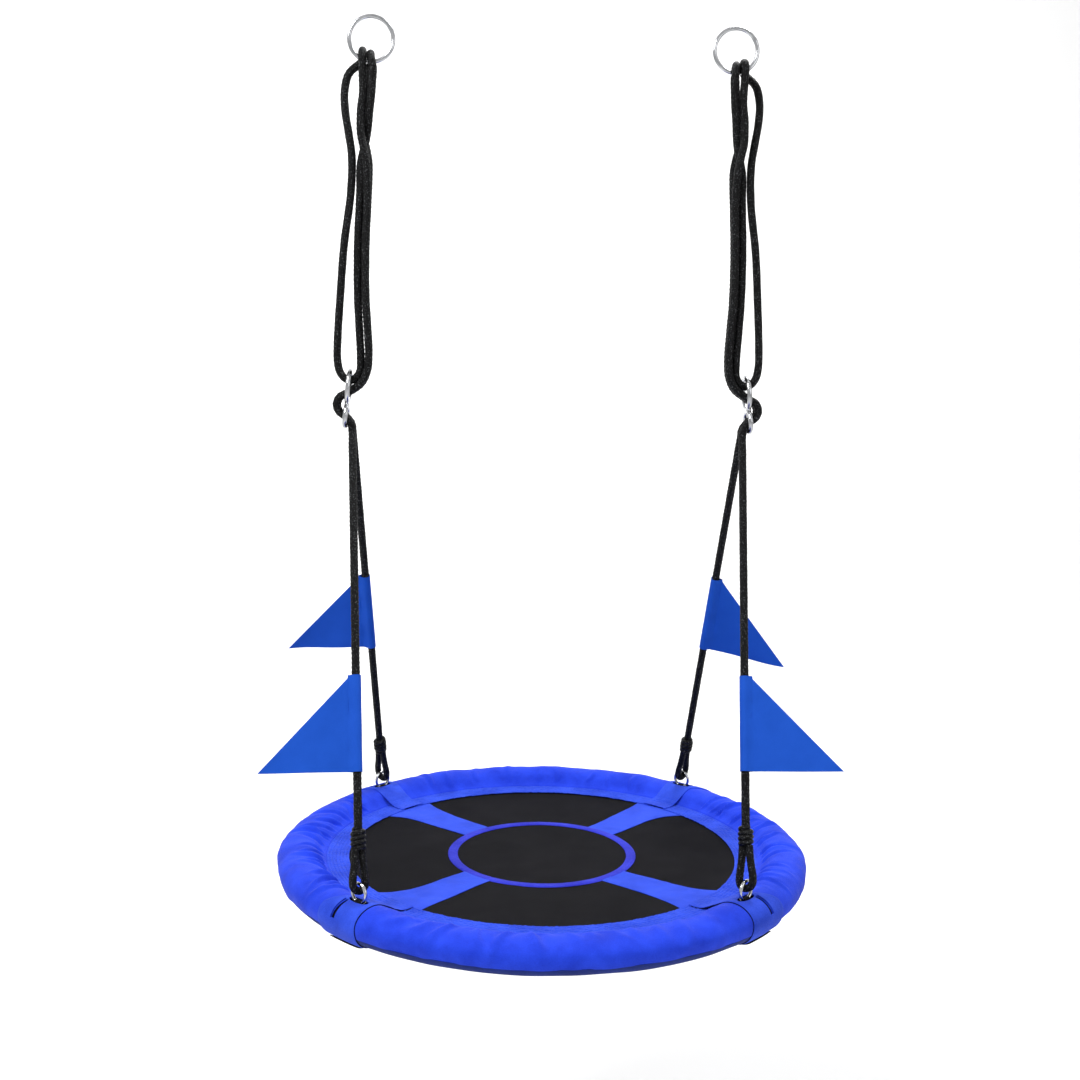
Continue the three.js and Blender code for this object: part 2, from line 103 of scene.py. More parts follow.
# ---------- rope routes: outward from the top ring, depth, height above the frame plane ----------
BIGHT_ROUTE = [
    (0.0435, 0.0110, 1.4595), (0.049, 0.008, 1.430), (0.047, 0.005, 1.393), (0.041, 0.002, 1.357),
    (0.035, -0.001, 1.315), (0.037, 0, 1.248), (0.049, 0, 1.157), (0.056, 0, 1.065), (0.061, 0, 0.985),
    (0.0615, 0, 0.945), (0.057, 0, 0.923), (0.048, 0, 0.911), (0.038, 0, 0.9075), (0.028, 0, 0.9115),
    (0.020, 0, 0.924), (0.0185, 0, 0.950), (0.020, -0.001, 0.985), (0.024, -0.001, 1.065),
    (0.024, -0.001, 1.157), (0.020, -0.001, 1.248), (0.019, 0.0015, 1.302), (0.013, 0.0015, 1.330),
    (0.008, 0.0015, 1.352), (0.0025, -0.007, 1.395), (-0.002, -0.011, 1.435), (-0.004, -0.013, 1.4655),
]
STRAND_ROUTE = {
    "front": [
        (0.015, -0.0135, 1.4655), (0.014, -0.012, 1.430), (0.018, -0.0115, 1.393), (0.018, -0.013, 1.357),
        (0.013, -0.0137, 1.330), (0.008, -0.013, 1.302), (0.006, -0.009, 1.248), (0.009, -0.0085, 1.157),
        (0.009, -0.0085, 1.065), (0.005, -0.0085, 1.000), (0.003, -0.008, 0.955), (0.006, -0.008, 0.925),
        (0.017, -0.0078, 0.903), (0.041, -0.0076, 0.885), (0.057, -0.0076, 0.876), (0.0625, -0.0076, 0.862),
        (0.058, -0.0076, 0.849), (0.045, -0.0076, 0.839), (0.0355, -0.0078, 0.826),
    ],
    "rear": [
        (0.004, 0.0135, 1.4655), (0.006, 0.011, 1.430), (0.011, 0.0105, 1.393), (0.014, 0.0162, 1.352),
        (0.009, 0.0165, 1.330), (0.005, 0.0155, 1.302), (0.006, 0.0098, 1.248), (0.010, 0.009, 1.157),
        (0.010, 0.009, 1.065), (0.006, 0.009, 1.000), (0.004, 0.008, 0.955), (0.007, 0.008, 0.925),
        (0.017, 0.0078, 0.903), (0.041, 0.0076, 0.885), (0.057, 0.0076, 0.876), (0.0625, 0.0076, 0.862),
        (0.058, 0.0076, 0.849), (0.045, 0.0076, 0.839), (0.0355, 0.0078, 0.826),
    ],
}
OUTER_TURN = [
    (0.015, -0.0135, 1.4698), (0.0155, -0.0143, 1.486), (0.0155, -0.0105, 1.4978), (0.0155, 0, 1.503),
    (0.016, 0.011, 1.499), (0.0185, 0.016, 1.487), (0.0265, 0.0152, 1.4795), (0.0365, 0.0125, 1.4705),
]
INNER_TURN = [
    (-0.004, -0.013, 1.4698), (-0.0015, -0.0135, 1.484), (0.0005, -0.009, 1.4935), (0.001, 0, 1.498),
    (0.0015, 0.009, 1.4935), (0.0025, 0.0135, 1.484), (0.004, 0.0135, 1.4698),
]
KNEE = (0.0335, 0.008, 0.812)

# ---------- camera ----------
camera_data = bpy.data.cameras.new("camera")
camera_data.lens = 43.5
camera = bpy.data.objects.new("camera", camera_data)
bpy.context.scene.collection.objects.link(camera)
camera.location = (-0.1662, -2.4725, -0.6784)
camera.rotation_euler = [math.radians(turn) for turn in (83.753, -0.917, -3.435)]
bpy.context.scene.camera = camera


# ---------- mesh helpers ----------
def link(name, mesh, material):
    """Puts a mesh in the scene with the material of that name."""
    mesh.materials.append(MATERIALS[material])
    piece = bpy.data.objects.new(name, mesh)
    bpy.context.scene.collection.objects.link(piece)
    return piece


def grid_piece(name, points, material, uv=None, wrap=False, caps=False):
    """A piece from a grid of points (rows, columns, 3). uv is (row positions, column positions) in metres."""
    rows, columns = points.shape[:2]
    across = columns if wrap else columns - 1
    i, j = np.meshgrid(np.arange(rows - 1), np.arange(across), indexing="ij")
    k = (j + 1) % columns
    faces = np.stack([i * columns + j, i * columns + k, (i + 1) * columns + k, (i + 1) * columns + j], -1)
    faces = faces.reshape(-1, 4).tolist()
    row_at = np.arange(rows) * 0.002 if uv is None else np.asarray(uv[0], float)
    column_at = np.arange(columns + 1) * 0.002 if uv is None else np.asarray(uv[1], float)
    corners = [(j, i), (j + 1, i), (j + 1, i + 1), (j, i + 1)]
    places = np.stack([np.stack([column_at[a], row_at[b]], -1) for a, b in corners], 2).reshape(-1, 2)
    vertices = points.reshape(-1, 3)
    if caps:
        ends = [list(range(columns))[::-1], [(rows - 1) * columns + c for c in range(columns)]]
        faces += ends
        places = np.vstack([places, np.zeros((2 * columns, 2))])
    mesh = bpy.data.meshes.new(name)
    mesh.from_pydata(vertices.tolist(), [], faces)
    mesh.uv_layers.new(name="UVMap").data.foreach_set("uv", places.astype(np.float32).ravel())
    mesh.shade_smooth()
    mesh.validate()
    return link(name, mesh, material)


def settle(piece, sharp=50):
    """Applies a piece's modifiers and marks edges that turn by more than sharp degrees."""
    evaluated = piece.evaluated_get(bpy.context.evaluated_depsgraph_get())
    mesh = bpy.data.meshes.new_from_object(evaluated)
    piece.modifiers.clear()
    piece.data = mesh
    mesh.shade_smooth()
    mesh.set_sharp_from_angle(angle=math.radians(sharp))


def thicken(piece, thickness, offset=-1):
    """Gives a sheet its thickness: at -1 behind its faces, at 1 before them, at 0 half each way."""
    solid = piece.modifiers.new("thickness", "SOLIDIFY")
    solid.thickness = thickness
    solid.offset = offset
    settle(piece)


def fix(piece, body, slot, *nodes):
    """Fixes a piece to its body, in place of any CAD nodes it stands for. slot is not used."""
    if nodes:
        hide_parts(*nodes)
    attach(piece, body)


def joined(name, pieces):
    """One piece from several that share a material."""
    bpy.ops.object.select_all(action="DESELECT")
    for piece in pieces:
        piece.select_set(True)
    bpy.context.view_layer.objects.active = pieces[0]
    bpy.ops.object.join()
    pieces[0].name = name
    return pieces[0]


def face_out(piece):
    """Turns a closed mesh's faces outward."""
    shape = bmesh.new()
    shape.from_mesh(piece.data)
    bmesh.ops.recalc_face_normals(shape, faces=shape.faces)
    shape.to_mesh(piece.data)
    shape.free()


def cut(piece, cutters):
    """Cuts closed pieces out of a piece and removes them."""
    face_out(piece)
    for cutter in cutters:
        face_out(cutter)
        boolean = piece.modifiers.new("opening", "BOOLEAN")
        boolean.object = cutter
        boolean.solver = "EXACT"
    settle(piece)
    for cutter in cutters:
        bpy.data.objects.remove(cutter)


def reach_along(line):
    """How far along a line each of its points is."""
    return np.concatenate([[0], np.cumsum(np.linalg.norm(np.diff(line, axis=0), axis=1))])


def between(t, start, end, a, b):
    return (end - t) / (end - start) * a + (t - start) / (end - start) * b


def smooth_route(points, step):
    """An even line, step apart, on the centripetal spline through the points."""
    p = np.array([tuple(q) for q in points], float)
    p = np.vstack([2 * p[0] - p[1], p, 2 * p[-1] - p[-2]])
    dense = []
    for a, b, c, d in zip(p, p[1:], p[2:], p[3:]):
        t0 = 0.0
        t1 = t0 + np.linalg.norm(b - a) ** 0.5
        t2 = t1 + np.linalg.norm(c - b) ** 0.5
        t3 = t2 + np.linalg.norm(d - c) ** 0.5
        t = np.linspace(t1, t2, 24, endpoint=False)[:, None]
        ab, bc, cd = between(t, t0, t1, a, b), between(t, t1, t2, b, c), between(t, t2, t3, c, d)
        abc, bcd = between(t, t0, t2, ab, bc), between(t, t1, t3, bc, cd)
        dense.append(between(t, t1, t2, abc, bcd))
    line = np.vstack([*dense, p[-2]])
    reach = reach_along(line)
    even = np.linspace(0, reach[-1], max(3, round(reach[-1] / step) + 1))
    return np.stack([np.interp(even, reach, line[:, axis]) for axis in range(3)], 1)


def frames_along(line, closed=False):
    """Tangent and two side directions at each point, turned as little as possible from one to the next."""
    ahead = np.roll(line, -1, 0) - np.roll(line, 1, 0)
    if not closed:
        ahead[0], ahead[-1] = line[1] - line[0], line[-1] - line[-2]
    ahead /= np.linalg.norm(ahead, axis=1)[:, None]
    start = np.cross(ahead[0], (0.31, 0.92, 0.24))
    side = [start / np.linalg.norm(start)]
    for tangent in ahead[1:]:
        turned = side[-1] - tangent * (side[-1] @ tangent)
        side.append(turned / np.linalg.norm(turned))
    side = np.array(side)
    return ahead, side, np.cross(ahead, side)


def tube(name, line, radius, material, sides=24, closed=False, relief=None):
    """A round piece along a line. radius is a number or one for each point; relief(angle, run) adds to it."""
    _, side, other = frames_along(line, closed)
    angle = np.arange(sides) * 2 * math.pi / sides
    run = reach_along(line)
    if closed:
        twist = math.atan2(side[0] @ other[-1], side[0] @ side[-1])
        angle = angle[None, :] + twist * (run / run[-1])[:, None]
    else:
        angle = np.repeat(angle[None, :], len(line), 0)
    size = np.broadcast_to(np.asarray(radius, float).reshape(-1, 1), angle.shape).copy()
    if relief is not None:
        size += relief(angle, run[:, None])
    ring = np.cos(angle)[..., None] * side[:, None] + np.sin(angle)[..., None] * other[:, None]
    points = line[:, None] + ring * size[..., None]
    if closed:
        points = np.concatenate([points, points[:1]])
        run = np.append(run, 2 * run[-1] - run[-2])
    around = np.arange(sides + 1) / sides * 2 * math.pi * float(np.mean(radius))
    piece = grid_piece(name, points, material, (run, around), wrap=True, caps=not closed)
    if closed:
        weld(piece)
    return piece


def weld(piece):
    """Joins a closed piece's first and last rings of points."""
    merge = piece.modifiers.new("merge", "WELD")
    merge.merge_threshold = 1e-6
    settle(piece, 180)


def bump_noise(x, y, z, scale):
    """Smooth noise from -1 to 1 at arrays of places; scale is its features' size."""
    flat = np.stack(np.broadcast_arrays(x, y, z), -1).reshape(-1, 3) / scale
    values = [noise.noise(Vector(p)) for p in flat]
    return np.array(values).reshape(np.broadcast(x, y, z).shape)


# ---------- materials ----------
WAVE_PERIOD = 0.314          # a wave texture of scale 1 repeats at this distance


def new_material(name):
    """A new material, its node tree and shader, and the coordinates that its textures follow."""
    material = bpy.data.materials.new(name)
    material.use_nodes = True
    tree = material.node_tree
    place = tree.nodes.new("ShaderNodeTexCoord").outputs
    return material, tree, tree.nodes["Principled BSDF"], place


def two_tone(tree, factor, dark, light, shader, low=0.35, high=0.65):
    """Colours a shader from dark to light by a grey value."""
    ramp = tree.nodes.new("ShaderNodeValToRGB")
    ramp.color_ramp.elements[0].position = low
    ramp.color_ramp.elements[0].color = (*dark, 1)
    ramp.color_ramp.elements[1].position = high
    ramp.color_ramp.elements[1].color = (*light, 1)
    tree.links.new(factor, ramp.inputs["Fac"])
    tree.links.new(ramp.outputs["Color"], shader.inputs["Base Color"])


def noise_node(tree, vector, size, detail=4.0, rough=0.55):
    node = tree.nodes.new("ShaderNodeTexNoise")
    node.inputs["Scale"].default_value = 1 / size
    node.inputs["Detail"].default_value = detail
    node.inputs["Roughness"].default_value = rough
    tree.links.new(vector, node.inputs["Vector"])
    return node.outputs["Fac"]


def math_node(tree, operation, a, b):
    node = tree.nodes.new("ShaderNodeMath")
    node.operation = operation
    for socket, value in zip(node.inputs, (a, b)):
        if isinstance(value, (int, float)):
            socket.default_value = value
        else:
            tree.links.new(value, socket)
    return node.outputs[0]


def bump_from(tree, height, distance, shader, strength=1.0):
    bump = tree.nodes.new("ShaderNodeBump")
    bump.inputs["Distance"].default_value = distance
    bump.inputs["Strength"].default_value = strength
    tree.links.new(height, bump.inputs["Height"])
    tree.links.new(bump.outputs["Normal"], shader.inputs["Normal"])


def woven(name, dark, light, pitch, relief, roughness=0.72, sheen=0.05, crinkle=0.0, patch=0.05):
    """Woven cloth: crossing threads at the given pitch, soft patches of tone and an optional crinkle."""
    material, tree, shader, place = new_material(name)
    threads = []
    for direction in ("X", "Y"):
        wave = tree.nodes.new("ShaderNodeTexWave")
        wave.bands_direction = direction
        wave.inputs["Scale"].default_value = WAVE_PERIOD / pitch
        wave.inputs["Distortion"].default_value = 0.5
        wave.inputs["Detail Scale"].default_value = 0.4
        tree.links.new(place["UV"], wave.inputs["Vector"])
        threads.append(wave.outputs["Fac"])
    weave = math_node(tree, "MULTIPLY", *threads)
    cloud = noise_node(tree, place["Object"], patch)
    fuzz = noise_node(tree, place["Object"], pitch * 1.7, 2.0)
    tone = math_node(tree, "ADD", math_node(tree, "MULTIPLY", cloud, 0.72),
                     math_node(tree, "MULTIPLY", fuzz, 0.28))
    two_tone(tree, tone, dark, light, shader)
    height = math_node(tree, "ADD", weave, math_node(tree, "MULTIPLY", fuzz, 0.5))
    if crinkle:
        folds = noise_node(tree, place["Object"], 0.008, 3.0)
        folds = math_node(tree, "MULTIPLY", folds, crinkle / relief)
        height = math_node(tree, "ADD", height, folds)
    bump_from(tree, height, relief, shader)
    shader.inputs["Roughness"].default_value = roughness
    shader.inputs["Sheen Weight"].default_value = sheen
    shader.inputs["Sheen Roughness"].default_value = 0.5
    shader.inputs["Specular IOR Level"].default_value = 0.06
    return material


def rope_material(name, roughness):
    """Black braided rope: fine yarn lines along each strand, and pale specks where the yarn is proud, painted
    into its colour as highlights.
    """
    material, tree, shader, place = new_material(name)
    yarns = []
    for direction in ("DIAGONAL", "X"):
        wave = tree.nodes.new("ShaderNodeTexWave")
        wave.bands_direction = direction
        wave.inputs["Scale"].default_value = WAVE_PERIOD / 0.0013
        wave.inputs["Distortion"].default_value = 1.5
        tree.links.new(place["UV"], wave.inputs["Vector"])
        yarns.append(wave.outputs["Fac"])
    painted_glint_and_relief = noise_node(tree, place["Object"], 0.0026, 2.0)
    # painted highlight: the pale end of this ramp puts glint specks into the rope's base colour; the same
    # noise also lifts the bump
    two_tone(tree, painted_glint_and_relief, (0.0016, 0.0016, 0.0019), (0.105, 0.110, 0.116), shader, 0.57, 0.74)
    height = math_node(tree, "ADD", math_node(tree, "MULTIPLY", *yarns), painted_glint_and_relief)
    bump_from(tree, height, 0.0005, shader)
    shader.inputs["Roughness"].default_value = roughness
    shader.inputs["Specular IOR Level"].default_value = 0.14
    return material


def metal(name, colour, roughness, grain):
    """Bare metal with faint drawn grain, handling marks and uneven polish."""
    material, tree, shader, place = new_material(name)
    marks = noise_node(tree, place["Object"], 0.004, 6.0, 0.7)
    patches = noise_node(tree, place["Object"], 0.02, 2.0)
    dark = tuple(c * 0.72 for c in colour)
    two_tone(tree, patches, dark, colour, shader, 0.3, 0.6)
    spread = math_node(tree, "MULTIPLY", marks, 0.18)
    tree.links.new(math_node(tree, "ADD", spread, roughness - 0.08), shader.inputs["Roughness"])
    bump_from(tree, marks, grain, shader, 0.5)
    shader.inputs["Metallic"].default_value = 1.0
    return material


def foam_material(name):
    material, tree, shader, place = new_material(name)
    cells = tree.nodes.new("ShaderNodeTexVoronoi")
    cells.inputs["Scale"].default_value = 1 / 0.0022
    tree.links.new(place["Object"], cells.inputs["Vector"])
    two_tone(tree, cells.outputs["Distance"], (0.03, 0.031, 0.036), (0.075, 0.077, 0.085), shader,
             0.1, 0.7)
    bump_from(tree, cells.outputs["Distance"], 0.0004, shader)
    shader.inputs["Roughness"].default_value = 0.9
    return material


def floor_material():
    material, _, shader, _ = new_material("pale_floor")
    shader.inputs["Base Color"].default_value = (0.92, 0.92, 0.92, 1)
    shader.inputs["Roughness"].default_value = 0.9
    return material


BLUE_DARK, BLUE_LIGHT = (0.011, 0.038, 0.54), (0.021, 0.064, 0.74)
MATERIALS = {
    "cover": woven("rim_cover_cloth", BLUE_DARK, BLUE_LIGHT, 0.0011, 0.00012),
    "strap": woven("border_cloth", (0.015, 0.048, 0.50), (0.032, 0.086, 0.72), 0.0013, 0.0002,
                   crinkle=0.0003),
    "spoke": woven("spoke_cloth", (0.018, 0.056, 0.56), (0.028, 0.080, 0.72), 0.0013, 0.00016),
    "centre": woven("centre_cloth", (0.016, 0.020, 0.40), (0.034, 0.046, 0.60), 0.0013, 0.0002,
                    crinkle=0.0004),
    # underside cloth: its dark blue is the shade under the rim painted into the cloth's colour
    "under": woven("underside_cloth_painted_shade", (0.007, 0.019, 0.15), (0.010, 0.027, 0.21), 0.0012, 0.00014),
    "deck": woven("deck_cloth", (0.0036, 0.0035, 0.0048), (0.0066, 0.0063, 0.0080), 0.0016, 0.00022,
                  roughness=0.8, sheen=0.0, patch=0.09),
    "flag": woven("flag_cloth", (0.010, 0.074, 0.46), (0.013, 0.086, 0.52), 0.0009, 0.00006, sheen=0.03),
    "webbing": woven("black_webbing", (0.006, 0.006, 0.008), (0.014, 0.014, 0.017), 0.0018, 0.0003,
                     sheen=0.0),
    # painted shade: a dark strip that stands for the shaded gap along a corner strap's end edge
    "edge": woven("gap_shade_edging", (0.004, 0.005, 0.020), (0.006, 0.008, 0.035), 0.001, 0.0001, sheen=0.0),
    "thread": woven("sewing_thread", (0.014, 0.036, 0.40), (0.022, 0.055, 0.56), 0.0005, 0.00005),
    "dark_thread": woven("dark_thread", (0.008, 0.018, 0.22), (0.012, 0.030, 0.34), 0.0005, 0.00005),
    "rope": rope_material("braided_rope", 0.5),
    "knot": rope_material("knot_rope", 0.36),
    "steel": metal("polished_steel", (0.60, 0.61, 0.63), 0.16, 0.00003),
    "zinc": metal("zinc_plate", (0.50, 0.52, 0.54), 0.42, 0.0001),
    "foam": foam_material("closed_cell_foam"),
    "floor": floor_material(),
}
CAD_MATERIALS = {
    "polished_steel": "steel", "zinc_steel": "zinc", "rope": "rope", "webbing": "webbing", "foam": "foam",
    "rim_cover": "cover", "border": "strap", "centre_band": "centre", "seat": "deck", "flag": "flag",
}
for part in frame["record"]["subparts"]:
    node = frame["nodes"][part["node"]]
    node.data.materials.clear()
    node.data.materials.append(MATERIALS[CAD_MATERIALS[part["material_slot"]]])


# ---------- places on the swing ----------
CORNER_OFFSET = RIM_RADIUS * math.sqrt(0.5)


def side_point(side, place):
    return Vector((side * (TOP_RING["x"] + place[0]), place[1], PLANE + place[2]))


class Leg:
    """The straight rope from the knee under an adjuster to a lower ring, and directions at its corner."""

    def __init__(self, corner):
        sx, sy = corner
        ring_top = PLANE + LOWER_RING["z"] + LOWER_RING["radius"]
        self.foot = Vector((sx * CORNER_OFFSET, sy * CORNER_OFFSET, ring_top))
        self.knee = side_point(sx, (KNEE[0], sy * KNEE[1], KNEE[2]))
        self.up = (self.knee - self.foot).normalized()
        self.outward = Vector((sx, sy, 0)).normalized()
        self.along = Vector((0, 0, 1)).cross(self.outward)
        self.across = (self.outward - self.up * self.outward.dot(self.up)).normalized()
        self.base = Vector((self.foot.x, self.foot.y, PLANE))
        self.length = (self.knee - self.foot).length

    def at(self, distance):
        return self.foot + self.up * distance

    def beside_tube(self, along, outward, up):
        return self.base + self.along * along + self.outward * outward + Vector((0, 0, up))


def on_rim(angle, outward, up):
    angle, radius, high = np.broadcast_arrays(angle, RIM_RADIUS + outward, PLANE + up)
    return np.stack([radius * np.cos(angle), radius * np.sin(angle), high], -1)


def corner_angle(corner):
    return math.atan2(corner[1], corner[0])


def towards_end(corner):
    """1 where the angle grows towards the front or rear cover, and -1 where it falls."""
    return corner[0] * corner[1]


def end_of(corner_name):
    return corner_name.split("_")[0]


def side_of(corner_name):
    return corner_name.split("_")[1]


# ---------- ropes ----------
BRAID_LOBES = 6
BRAID_PITCH = 0.0085
BRAID_RELIEF = 0.00042


def braid(angle, run):
    """The bumps of a diamond braid, with a slight swell of the whole rope."""
    swell = 0.00012 * np.sin(run * 2 * math.pi / 0.047)
    return BRAID_RELIEF * np.cos(BRAID_LOBES * angle) * np.cos(2 * math.pi * run / BRAID_PITCH) + swell


def side_rope(name, side):
    """One side's rope, from inside the front knot up, twice over the top ring, and down to the rear knot."""
    route = []
    for end in ("front", "rear"):
        sy = -1 if end == "front" else 1
        leg = Leg((side, sy))
        low = [leg.at(share * leg.length) for share in (0.085, 0.2, 0.4, 0.6, 0.8, 0.97)]
        half = low + [leg.knee] + [side_point(side, p) for p in reversed(STRAND_ROUTE[end])]
        if end == "front":
            route += half + [side_point(side, p) for p in OUTER_TURN + BIGHT_ROUTE + INNER_TURN]
        else:
            route += half[::-1]
    line = smooth_route(route, ROPE_STEP)
    piece = tube(f"{name}_rope", line, ROPE_RADIUS, "rope", relief=braid)
    nodes = [f"{name}_{turn}_turn" for turn in ("outer", "inner")] + [f"{name}_rope_bight"]
    nodes += [f"{end}_{name}_{stretch}" for end in ("front", "rear") for stretch in ("strand", "leg")]
    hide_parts(*nodes)
    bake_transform(piece)


def eye_route(leg):
    across = leg.across
    turn = LOWER_RING["wire"] + 0.007 + EYE_SLACK
    down = Vector((0, 0, -1))

    def half(sign):
        return [
            leg.at(EYE_LENGTH) + across * sign * EYE_ROPE + leg.up * 0.006,
            leg.at(EYE_LENGTH * 0.8) + across * sign * 0.0076,
            leg.at(EYE_LENGTH * 0.45) + across * sign * (EYE_SPREAD + 0.002),
            leg.at(0.006) + across * sign * turn,
            leg.foot + across * sign * turn * 0.92 + down * turn * 0.38,
            leg.foot + across * sign * turn * 0.55 + down * turn * 0.84,
        ]

    return half(-1) + [leg.foot + down * turn] + half(1)[::-1]


def knot_line(leg):
    """The binding cord: a helix round the rope that tucks in at both ends and bulges between."""
    other = leg.up.cross(leg.across)
    share = np.linspace(0, 1, KNOT_WRAPS * 30 + 1)
    turn = share * KNOT_WRAPS * 2 * math.pi
    barrel = 0.0092 - 0.0012 * np.abs(2 * share - 1) ** 3
    tuck = np.clip(np.minimum(share, 1 - share) * KNOT_WRAPS / 0.3, 0, 1)
    radius = 0.005 + (barrel - 0.005) * tuck * tuck * (3 - 2 * tuck)
    rise = 0.004 + (KNOT_LENGTH - 0.008) * share
    base = np.array(leg.at(EYE_LENGTH))
    return (base + np.outer(np.cos(turn) * radius, leg.across) + np.outer(np.sin(turn) * radius, other)
            + np.outer(rise, leg.up))


def fine_braid(angle, run):
    return 0.00022 * np.cos(5 * angle) * np.cos(2 * math.pi * run / 0.0055)


for side_name, side in SIDES.items():
    side_rope(side_name, side)
for corner_name, corner in CORNERS.items():
    body = f"{side_of(corner_name)}_rope"
    leg = Leg(corner)
    eye_line = smooth_route(eye_route(leg), ROPE_STEP)
    eye = tube(f"{corner_name}_eye", eye_line, EYE_ROPE, "rope", relief=braid)
    wraps = tube(f"{corner_name}_knot", knot_line(leg), KNOT_CORD, "knot", 14, relief=fine_braid)
    fix(eye, body, "rope", f"{corner_name}_eye_knot")
    fix(wraps, body, "rope")


# ---------- rings and adjusters ----------
def welded(wire, share, at):
    """Wire radius round a ring, with the weld's low swelling at one place."""
    away = np.minimum(np.abs(share - at), 1 - np.abs(share - at))
    return wire * (1 + 0.10 * np.exp(-(away / 0.018) ** 2) - 0.05 * np.exp(-((away - 0.035) / 0.01) ** 2))


def ring_piece(name, centre, across, up, width, height, wire, at):
    """An oval wire ring of half sizes width and height, welded at a share of its way round."""
    steps = np.arange(RING_STEPS)
    angle = steps * 2 * math.pi / RING_STEPS
    line = np.array(centre) + np.outer(np.cos(angle) * width, across) + np.outer(np.sin(angle) * height, up)
    return tube(name, line, welded(wire, steps / RING_STEPS, at), "steel", 20, closed=True)


for side_name, side in SIDES.items():
    centre = (side * TOP_RING["x"], 0, TOP_RING["wire"] - TOP_RING["radius"])
    ring = ring_piece(f"{side_name}_hanging_ring", centre, (1, 0, 0), (0, 0, 1),
                      TOP_RING["radius"], TOP_RING["radius"], TOP_RING["wire"], 0.08)
    fix(ring, "hangers", "polished_steel", f"{side_name}_top_ring")

    tilt = Matrix.Rotation(math.radians(-side * ADJUSTER["tilt"]), 3, "Y")
    top = Vector((side * (ADJUSTER["x"] - ADJUSTER["tilt"] / 1000), 0, PLANE + ADJUSTER["top"]))
    loops = []
    rod = ADJUSTER["rod"]
    for number, (height, width, middle) in enumerate(ADJUSTER_LOOPS):
        loops.append(ring_piece(f"{side_name}_loop_{number}", top + tilt @ Vector((0, 0, middle)), (0, 1, 0),
                                tilt @ Vector((0, 0, 1)), width / 2 - rod, height / 2 - rod, rod, 0.4))
    waist = ADJUSTER_LOOPS[0][2] - ADJUSTER_LOOPS[0][0] / 2 + rod * 0.8
    for sign in (-1, 1):
        bead = top + tilt @ Vector((0, sign * 0.009, waist))
        line = smooth_route([bead + Vector((0, -0.006, 0)), bead, bead + Vector((0, 0.006, 0))], 0.0006)
        share = np.linspace(-1, 1, len(line))
        radius = rod * np.sqrt(1.05 - share ** 2)
        loops.append(tube(f"{side_name}_bead_{sign}", line, radius, "steel", 16))
    adjuster = joined(f"{side_name}_rope_adjuster", loops)
    fix(adjuster, f"{side_name}_rope", "polished_steel", f"{side_name}_adjuster")

for corner_name, corner in CORNERS.items():
    leg = Leg(corner)
    centre = leg.base + Vector((0, 0, LOWER_RING["z"]))
    ring = ring_piece(f"{corner_name}_ring", centre, leg.along, (0, 0, 1),
                      LOWER_RING["radius"], LOWER_RING["radius"], LOWER_RING["wire"], 0.75)
    fix(ring, "saucer", "polished_steel", f"{corner_name}_lower_ring")


# ---------- rim: foam, covers and straps ----------
# stitch rows, measured from the border's inner edge
BORDER_ROWS = [0.0050 + 0.0066 * row for row in range(6)]
BORDER_SEAM = 0.0430


def pressed(up):
    """Heights on the round padding once the stretched cloth has pressed its upper half down."""
    return np.where(up > 0, up * COVER_CROWN / COVER_RADIUS, up)


# (outward, up) of the flat cloth between the border's inner edge and the padding
COVER_FLAT = [(-0.0940, -0.0010), (-0.0760, -0.0007), (-0.0560, 0.0001), (-0.0475, 0.0022), (-0.0412, 0.0066)]
STRAP_FLAT = [(-0.0940, -0.0010), (-0.0800, -0.0008), (-0.0680, 0.0002), (-0.0560, 0.0046), (-0.0400, 0.0130)]


def rim_section(last, flat=COVER_FLAT, first=152):
    """Distance, outward and up along the cloth's line, from the border's inner edge over the padding."""
    turn = np.linspace(math.radians(first), math.radians(last), 20)
    arc = [(outward, pressed(up)) for outward, up in circle(COVER_RADIUS, turn)]
    line = smooth_route([(outward, 0, up) for outward, up in flat + arc], 0.0005)
    run = reach_along(line)
    return run, line[:, 0], line[:, 2]


def section_at(section, stations):
    """Points and outward-facing normals of a section at distances along it."""
    run, outward, up = section
    out = np.interp(stations, run, outward)
    high = np.interp(stations, run, up)
    ahead, behind = stations + 0.0006, stations - 0.0006
    slope = [np.interp(ahead, run, v) - np.interp(behind, run, v) for v in (outward, up)]
    length = np.hypot(*slope)
    return out, high, -slope[1] / length, slope[0] / length


def circle(radius, turn, up=0.0):
    return [(radius * math.cos(t), up + radius * math.sin(t)) for t in turn]


def bell(x):
    return np.exp(-x * x)


def ease(x):
    x = np.clip(x, 0, 1)
    return x * x * (3 - 2 * x)


def border_relief(run, along):
    """The sunk stitch rows of the border, the puckers between them and the seam at its outer edge."""
    depth = sum(-0.0010 * bell((run - row) / 0.0012) for row in BORDER_ROWS)
    inside = 1 - ease((run - BORDER_SEAM + 0.004) / 0.004)
    puckers = bump_noise(along, run, 0.0, 0.0055) * 0.0009 + bump_noise(along, run, 3.0, 0.011) * 0.0009
    return depth + puckers * inside - 0.0016 * bell((run - BORDER_SEAM) / 0.0016)


FOLD_STYLE = {
    # number, first and last place across the cover, height, narrowest and widest, slant
    "left": (18, 0.044, 0.158, 0.0058, 0.0022, 0.0036, 0.040),
    "right": (18, 0.044, 0.158, 0.0058, 0.0022, 0.0036, 0.040),
    "front": (13, 0.078, 0.190, 0.0050, 0.0045, 0.0095, 0.050),
    "rear": (9, 0.050, 0.150, 0.0034, 0.0040, 0.0070, 0.024),
}


